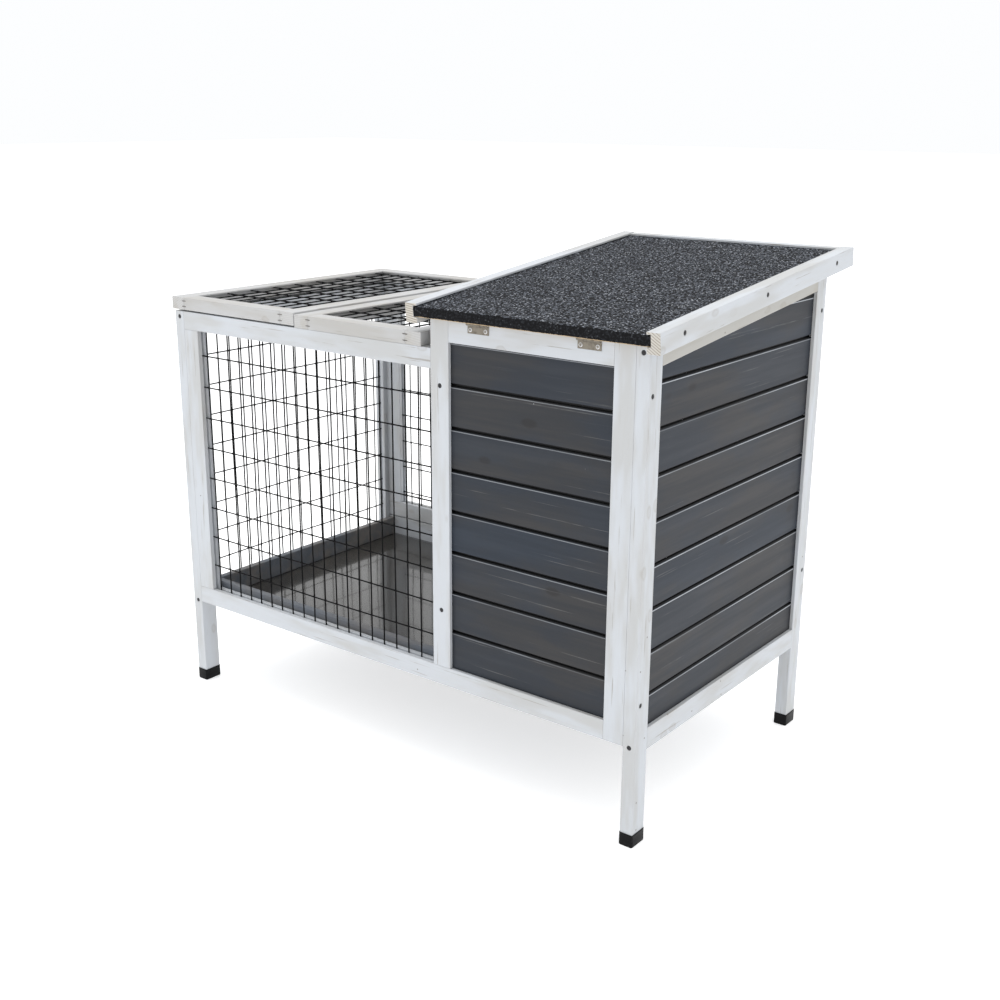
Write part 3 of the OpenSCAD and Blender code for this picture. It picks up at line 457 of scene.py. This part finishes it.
lid_rail, left_drop = 29 * MM, 5 * MM
run_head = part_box("back_run_top_rail")[0].z
run_x = gap("back_left_stile", "back_middle_stile", 0)
side_y = gap("leg_back_left", "leg_front_left", 1)
wire_panel("back_run", "hutch", "back_mesh", run_x, (back_sill, run_head),
           0, 2, 1, -1, (0, 1), seed=10)
wire_panel("front_run", "hutch", "front_mesh", run_x,
           (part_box("front_bottom_rail")[1].z, run_head), 0, 2, 1, 1, (1, 0), seed=20)
wire_panel("left_run", "hutch", "left_mesh", side_y,
           (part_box("left_bottom_rail")[1].z, run_head), 1, 2, 0, -1, (1, 1),
            drop=left_drop, seed=30)
for lid, body, seed in (("fixed_lid", "hutch", 40), ("lid", "lid", 50)):
    low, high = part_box(lid + "_stiles")
    wire_panel(lid, body, lid + "_mesh", (low.x + lid_rail, high.x - lid_rail),
               (low.y + lid_rail, high.y - lid_rail), 0, 1, 2, 1, (0, 0), seed=seed)

# ---- Lids over the run ----
# Two flat frames of the same fir, half-jointed and stapled at the corners. They took the
# thinnest paint, so their edges show the warm wood.
thin_paint = (0.47, 0.473, 0.478), (0.38, 0.345, 0.29), 0.32
lid_crosswise = fir("thinly painted fir, grain crosswise", 1, *thin_paint)
lid_lengthwise = fir("thinly painted fir, grain lengthwise", 0, *thin_paint)
cover(lid_crosswise, "lid_stiles fixed_lid_stiles")
cover(lid_lengthwise, "lid_rails fixed_lid_rails")
ease("lid_stiles fixed_lid_stiles lid_rails fixed_lid_rails", 0.9 * MM)

bright, place, normal = new_finish("bright zinc")
tarnish = place.spread((300, 300, 300)).noise(4, 0.6)
close_finish(place, {
    "Base Color": tarnish.step(0.45, 0.75).tint((0.62, 0.62, 0.63), (0.30, 0.28, 0.26)),
    "Metallic": 1.0, "Roughness": 0.28 + tarnish * 0.25}, tarnish, 0.08 * MM, 0.5)

driven, place, normal = new_finish("dull staple wire")
rust = place.spread((250, 250, 250)).noise(3, 0.6)
close_finish(place, {
    "Base Color": rust.step(0.4, 0.7).tint((0.20, 0.19, 0.18), (0.08, 0.07, 0.06)),
    "Metallic": 0.6, "Roughness": 0.4 + rust * 0.2}, rust, 0.08 * MM, 0.5)


def staples(name, body, spots):
    """Staple crowns across the joints of a lid's faces: bars that rise a little from the wood
    in the middle and sink into it at both ends. A spot is x, y, z and the outward side."""
    sides = 6
    s = np.linspace(-1, 1, 9)
    angle = np.arange(sides) / sides * 2 * np.pi
    spots = np.array(spots)
    rise = 0.35 * MM - 1.1 * MM * s ** 4
    ring = np.zeros((len(spots), len(s), sides, 3))
    ring[..., 0] = (spots[:, 0, None] + 5.5 * MM * s)[..., None]
    crown = spots[:, 1, None] + spots[:, 3, None] * rise
    ring[..., 1] = crown[..., None] + 0.45 * MM * np.cos(angle)
    ring[..., 2] = spots[:, 2, None, None] + 0.7 * MM * np.sin(angle)
    skins(name, ring, driven, body)


for lid, body in (("fixed_lid", "hutch"), ("lid", "lid")):
    low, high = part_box(lid + "_stiles")
    staples(lid + "_staples", body, [
        (x, y, (low.z + high.z) / 2 + dz, side)
        for x in (low.x + lid_rail, high.x - lid_rail)
        for y, side in ((low.y, -1), (high.y, 1)) for dz in (-4.5 * MM, 4.5 * MM)])

# ---- Roof board and felt ----
# A bare fir board under bitumen felt. The felt is faced with black and grey mineral
# granules, folded over the low edge and cut a little raggedly under it.
PITCH = math.radians(6.1)
FELT, BOARD = 2.5 * MM, 13 * MM
felt_low, felt_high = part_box("roof_felt")
fold_y, fold_z = felt_low.y + (BOARD + FELT) * math.sin(PITCH), felt_low.z
slope_l = (felt_high.y - fold_y + BOARD * math.sin(PITCH)) / math.cos(PITCH)


def on_roof(v, w):
    """A point v up the roof's slope from its low edge and w over its underside, as y and z."""
    return (fold_y + v * math.cos(PITCH) - w * math.sin(PITCH),
            fold_z + v * math.sin(PITCH) + w * math.cos(PITCH))


granules, place, normal = new_finish("mineral felt")
far, own = place.spread((380, 380, 380)).cells()
clump = place.spread((300, 300, 300)).noise(2, 0.7)
tone = clump.step(0.50, 0.62).tint((0.002, 0.002, 0.003), (0.125, 0.137, 0.162))
tone = (own.step(0.87, 0.92) * far.step(0.55, 0.3)).tint(tone, (0.42, 0.44, 0.48))
# The felt's forward-facing folded hem is painted near black: painted shade on the roof's front
# edge.
painted_hem_shade = normal.axis(1).step(-0.45, -0.75)
tone = (painted_hem_shade * 0.9).tint(tone, (0.008, 0.008, 0.009))
close_finish(place, {
    "Base Color": tone, "Roughness": 0.66 + own * 0.2, "Specular IOR Level": 0.08},
             (1 - far) * 0.6 + own * 0.5, 0.9 * MM, 0.8)

rng = np.random.default_rng(7)
felt_x = np.linspace(felt_low.x, felt_high.x, 260)
bend_r = 4 * MM
arc = np.linspace(0, np.pi / 2, 7)
hem = np.linspace(0.0, BOARD + FELT - bend_r, 8)
top_v = np.linspace(bend_r, slope_l, 46)
v_loop = np.concatenate([[FELT, FELT, slope_l, slope_l], top_v[::-1][1:],
                         bend_r - bend_r * np.sin(arc[1:]), np.zeros(7)])
w_loop = np.concatenate([[0, BOARD, BOARD, BOARD + FELT], np.full(45, BOARD + FELT),
                         BOARD + FELT - bend_r + bend_r * np.cos(arc[1:]), hem[::-1][1:]])
on_top = (w_loop > BOARD + FELT - 0.01 * MM) & (v_loop < slope_l - 1 * MM)
on_fold = (v_loop < bend_r - 0.01 * MM) & (w_loop < BOARD + FELT - bend_r * 0.3)
v_grid, w_grid = (np.repeat(a[None], len(felt_x), 0) for a in (v_loop, w_loop))
wave = (0.5 + 0.28 * np.sin(felt_x[:, None] * 31 + v_loop * 9)
        + 0.22 * np.sin(v_loop * 47 - felt_x[:, None] * 13))
w_grid = w_grid - np.where(on_top, wave * 0.7 * MM, 0)
v_grid = v_grid + np.where(on_fold, rng.uniform(0, 0.45, v_grid.shape) * MM, 0)
rag = np.convolve(rng.uniform(0, 1, len(felt_x) + 8), np.ones(9) / 9, "valid") * 2.4
rag = rag + rng.uniform(0, 0.7, len(felt_x))
w_grid = w_grid + np.where(w_loop < 0.01 * MM, rag[:, None] * MM, 0)
y_grid, z_grid = on_roof(v_grid, w_grid)
felt_rings = np.stack([np.repeat(felt_x[:, None], len(v_loop), 1), y_grid, z_grid], -1)
skins("felt_sheet", felt_rings[None], granules, "roof", ("roof_felt",),
      smooth=False)

bare_board = fir("bare fir board", 0, (0.62, 0.47, 0.30), (0.40, 0.27, 0.15), 0.5, PITCH)
cover(bare_board, "roof_board")

# ---- Barge boards, ridge strip and the rail under the roof ----
# White battens: a groove in each barge board grips the edge of board and felt, and three
# screws hold it. The sawn lower ends show the wood.
fir_sloping = fir("white fir, grain up the slope", 1, tilt=PITCH, ends=0.9)
cover(fir_sloping, "left_barge_board right_barge_board")
# The rail under the roof's overhang gets a darker, warmer white and wood: painted shade from the
# overhang.
fir_in_painted_shade = fir("white fir in painted shade, grain up the slope", 1, (0.43, 0.42, 0.395),
                (0.30, 0.26, 0.21), tilt=PITCH)
cover(fir_in_painted_shade, "right_top_rail")
cover(fir_lengthwise, "ridge_strip")
ease("left_barge_board right_barge_board ridge_strip right_top_rail", 0.8 * MM)


# ---- Screws ----
# Zinc-plated cross-head screws: a low dome with a cross-shaped recess over a plain shank,
# sunk a little below the wood.
def heads_on(node, axis, level):
    """Centres of the round faces that a CAD node has at one level of an axis."""
    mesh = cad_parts[node].data
    points = np.empty(len(mesh.vertices) * 3)
    mesh.vertices.foreach_get("co", points)
    points = points.reshape(-1, 3)
    points = points[abs(points[:, axis] - level) < 0.02 * MM]
    found = []
    while len(points):
        same = np.linalg.norm(points - points[0], axis=1) < 8 * MM
        found.append((points[same].min(0) + points[same].max(0)) / 2)
        points = points[~same]
    return np.array(found)


HEAD_SIDES, SUNK = 40, 0.45 * MM


def screw_rings(centres, axis, side, size, dome, sink, shank=0.0):
    """Screws that face along an axis. Rings run from the shank's tip up the side of the head and
    over its dome to the middle, and the cross is a dip where either arm's width is near 0."""
    angle = np.arange(HEAD_SIDES) / HEAD_SIDES * 2 * np.pi
    r = np.concatenate([[0.3, 0.55, 0.55, 1.0, 1.0], np.linspace(0.97, 0.02, 15)]) * size
    base = np.concatenate([[-shank - sink, -shank, -sink, -sink, 0.0 * MM], np.zeros(15)])
    x, y = r[:, None] * np.cos(angle), r[:, None] * np.sin(angle)
    arm = np.minimum(abs(x), abs(y))
    cut = np.clip((0.17 * size - arm) / (0.08 * size), 0, 1)
    cut = cut * np.clip((0.62 * size - r[:, None]) / (0.12 * size), 0, 1)
    over = (np.arange(len(r)) > 3)[:, None]
    swell = dome * (1 - (r[:, None] / size) ** 2) - cut * dome * 1.6
    height = base[:, None] - SUNK + over * swell
    ring = np.zeros((len(centres), len(r), HEAD_SIDES, 3))
    first, second = [k for k in (1, 2, 0, 1) if k != axis][:2] if axis != 1 else (2, 0)
    ring[..., axis] = centres[:, axis, None, None] + side * height
    ring[..., first] = centres[:, first, None, None] + x
    ring[..., second] = centres[:, second, None, None] + side * y
    return ring


# The wood screws' zinc is coloured very dark, from 0.055 down to 0.02, far darker than the bright
# zinc.
dark_screw_zinc, place, normal = new_finish("dark zinc screw")
turning = place.spread((500, 500, 500)).noise(3, 0.6)
close_finish(place, {
    "Base Color": turning.step(0.4, 0.75).tint((0.055, 0.055, 0.058), (0.02, 0.019, 0.018)),
    "Metallic": 0.8, "Roughness": 0.34 + turning * 0.2}, turning, 0.08 * MM, 0.5)

wood_screw = 3.2 * MM, 0.4 * MM, 1.6 * MM  # head's radius, dome and lip
screw_low, screw_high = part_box("frame_screws")
screws = np.concatenate([
    screw_rings(heads_on("frame_screws", axis, box[axis]), axis, side, *wood_screw, 30 * MM)
    for axis, side, box in (
        (1, -1, screw_low), (1, 1, screw_high), (0, -1, screw_low), (0, 1, screw_high))])
skins("cross_head_screws", screws, dark_screw_zinc, "hutch", ("frame_screws",))

roof_low, roof_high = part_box("roof_screws")
screws = np.concatenate([
    screw_rings(heads_on("roof_screws", 0, box.x), 0, side, *wood_screw, 35 * MM)
    for side, box in ((-1, roof_low), (1, roof_high))])
skins("barge_screws", screws, dark_screw_zinc, "roof", ("roof_screws",))

# ---- Hinges ----
# Small pressed hinges with a dull tan plating, each leaf held by two bright round-headed
# screws. The pins are plain wire. The plating's colour is set darker still, as painted shade from
# the roof above.
plated, place, normal = new_finish("tan plated hinge in painted shade")
brush = place.spread((60, 900, 900)).noise(4, 0.6)
smear = place.spread((140, 140, 140)).noise(3, 0.6)
# Both tints are darker than the plating alone: painted shade from the roof's overhang.
close_finish(place, {
    "Base Color": smear.step(0.4, 0.75).tint((0.21, 0.187, 0.15), (0.12, 0.103, 0.082)),
    "Metallic": 0.45, "Roughness": 0.38 + brush * 0.2}, brush, 0.1 * MM, 0.4)
leaves = """roof_hinge_plates lid_hinge_plates door_hinge_plates
    roof_hinge_leaves lid_hinge_leaves door_hinge_leaves"""
cover(plated, leaves)
ease(leaves, 0.25 * MM, 1)
cover(bright, "hinge_pins button_screw")
ease("button_screw", 0.3 * MM)

leaf_face = 2.1 * MM
back_face, front_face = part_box("back_house_top_rail")[0].y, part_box("front_house_top_rail")[1].y
for name, body, nodes, side in (
    ("roof_hinge_screws", "hutch", ("roof_hinge_plates",), -1),
    ("front_hinge_screws", "hutch", ("lid_hinge_plates", "door_hinge_plates"), 1),
    ("lid_leaf_screws", "lid", ("lid_hinge_leaves",), 1),
    ("door_leaf_screws", "door", ("door_hinge_leaves",), 1),
):
    level = (back_face if side < 0 else front_face) + side * leaf_face
    centres = np.concatenate([heads_on(node, 1, level) for node in nodes])
    heads = screw_rings(centres, 1, side, 2.9 * MM, 0.55 * MM, 0.9 * MM)
    skins(name, heads, bright, body)

# ---- Tray ----
# Grey stained walls round a floor board under a glossy sheet, which is not quite flat, with a
# white front board to pull it out by.
tray_stain = stain("slate stain, tray", 0, 0.0, 400.0, grey=(0.135, 0.168, 0.215),
                   ends=0.0, joint=0.0)
cover(tray_stain, "tray_walls tray_floor")
ease("tray_walls", 1.2 * MM)

liner_low, liner_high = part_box("tray_liner")
sheen, place, normal = new_finish("glossy tray sheet")
sweep = place.spread((7, 5, 5)).noise(3, 0.5)
smudge_and_sheen = place.spread((40, 26, 30), (2, 0, 1)).noise(5, 0.6)
dust = place.spread((700, 700, 700)).noise(2, 0.5)
# The sheet's colour is lighter in soft patches: partly smudges, partly painted reflection standing
# in for the glossy sheet's blurred reflections.
reflection_and_smudge_patches = sweep.step(0.35, 0.7) * 0.7 + smudge_and_sheen.step(0.5, 0.8) * 0.3
close_finish(place, {
    "Base Color": reflection_and_smudge_patches.tint((0.026, 0.024, 0.022), (0.062, 0.058, 0.052)),
    "Roughness": 0.10 + smudge_and_sheen * 0.12, "Coat Weight": 0.5, "Coat Roughness": 0.04},
    sweep + dust * 0.002, 5 * MM, 0.2)
across = 60
sheet_x = np.linspace(liner_low.x, liner_high.x, 120)
sheet_y = np.linspace(liner_low.y, liner_high.y, across)
loop_y = np.concatenate([sheet_y, sheet_y[::-1]])
loop_z = np.concatenate([np.full(across, liner_low.z), np.full(across, liner_high.z)])
swing = np.sin(sheet_x[:, None] * 17 + loop_y * 6) * np.cos(loop_y * 21 - sheet_x[:, None] * 5)
sheet_z = loop_z - np.where(loop_z > liner_low.z, 0.22 * MM * (1 - swing), 0)
sheet_rings = np.stack([np.repeat(sheet_x[:, None], len(loop_y), 1),
                        np.repeat(loop_y[None], len(sheet_x), 0), sheet_z], -1)
skins("tray_sheet", sheet_rings[None], sheen, "tray", ("tray_liner",))

# ---- Floor finish ----
# A pale painted floor, even and matt.
paint, place, normal = new_finish("pale floor")
even = place.spread((3, 3, 3)).noise(2, 0.5)
close_finish(place, {
    "Base Color": even.tint((0.90, 0.90, 0.90), (0.92, 0.92, 0.92)), "Roughness": 0.9,
    "Emission Color": (1, 1, 1, 1), "Emission Strength": 0.45})
floor_mesh.materials.append(paint)

low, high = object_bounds()
